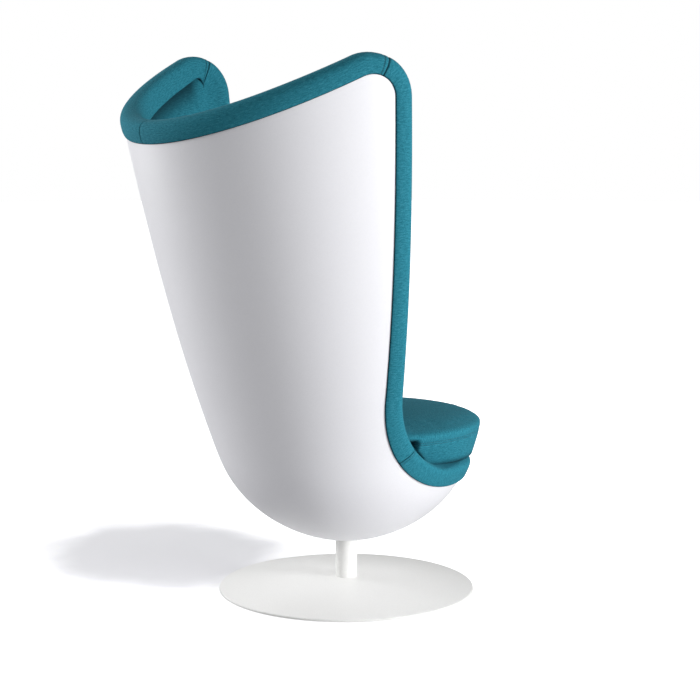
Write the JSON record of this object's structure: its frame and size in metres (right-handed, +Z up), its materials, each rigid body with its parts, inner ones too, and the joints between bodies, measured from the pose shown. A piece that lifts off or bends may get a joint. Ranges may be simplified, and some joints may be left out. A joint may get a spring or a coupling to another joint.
{
  "type": "pod chair",
  "caption": "Tall white moulded bucket chair with a leaning hooded back, padded edge and loose round seat cushion, swivelling on a short column and a domed disc base.",
  "frame": {"origin": "on the floor, on the axis of the swivel column and the base disc", "axes": "+Z up along the swivel axis, the chair faces -Y with its back towards +Y, +X to the sitter's left"},
  "size_m": [0.8904, 0.8397, 1.2483],
  "materials": {
    "coated_steel": "satin",
    "plain_steel": "satin",
    "zinc_steel": "satin",
    "felt": "matte",
    "acetal": "satin",
    "polyethylene": "satin",
    "brass": "satin",
    "plywood": "matte",
    "wool_fabric": "matte",
    "hook_tape": "matte"
  },
  "bodies": {
    "base": {"base_disc": "coated_steel", "floor_felt": "felt", "ballast_plate": "plain_steel", "foot_flange": "plain_steel", "foot_nuts": "zinc_steel", "foot_bolts": "zinc_steel", "column_tube": "coated_steel", "lower_bush": "acetal", "upper_bush": "acetal", "thrust_washer": "acetal"},
    "seat": {"spindle": "zinc_steel", "retaining_washer": "zinc_steel", "retaining_clip": "zinc_steel", "mounting_plate": "plain_steel", "plate_washers": "zinc_steel", "plate_bolts": "zinc_steel", "outer_shell": "polyethylene", "shell_inserts": "brass", "deck_posts": "plain_steel", "deck_ring": "plain_steel", "seat_board": "plywood", "deck_screws": "zinc_steel", "deck_pad": "wool_fabric", "hook_patches": "hook_tape", "back_pad": "wool_fabric", "rim_roll_left": "wool_fabric", "rim_roll_right": "wool_fabric", "front_roll_left": "wool_fabric", "front_roll_right": "wool_fabric", "lip_roll": "wool_fabric"},
    "cushion": {"seat_cushion": "wool_fabric", "loop_patches": "hook_tape"}
  },
  "joints": [
    {"name": "swivel", "type": "hinge", "parent": "base", "child": "seat", "pos_m": [0, 0, 0], "axis": [0, 0, 1], "continuous": true},
    {"name": "cushion_lift", "type": "slide", "parent": "seat", "child": "cushion", "axis": [0, 0, 1], "range_m": [0, 0.1]}
  ]
}
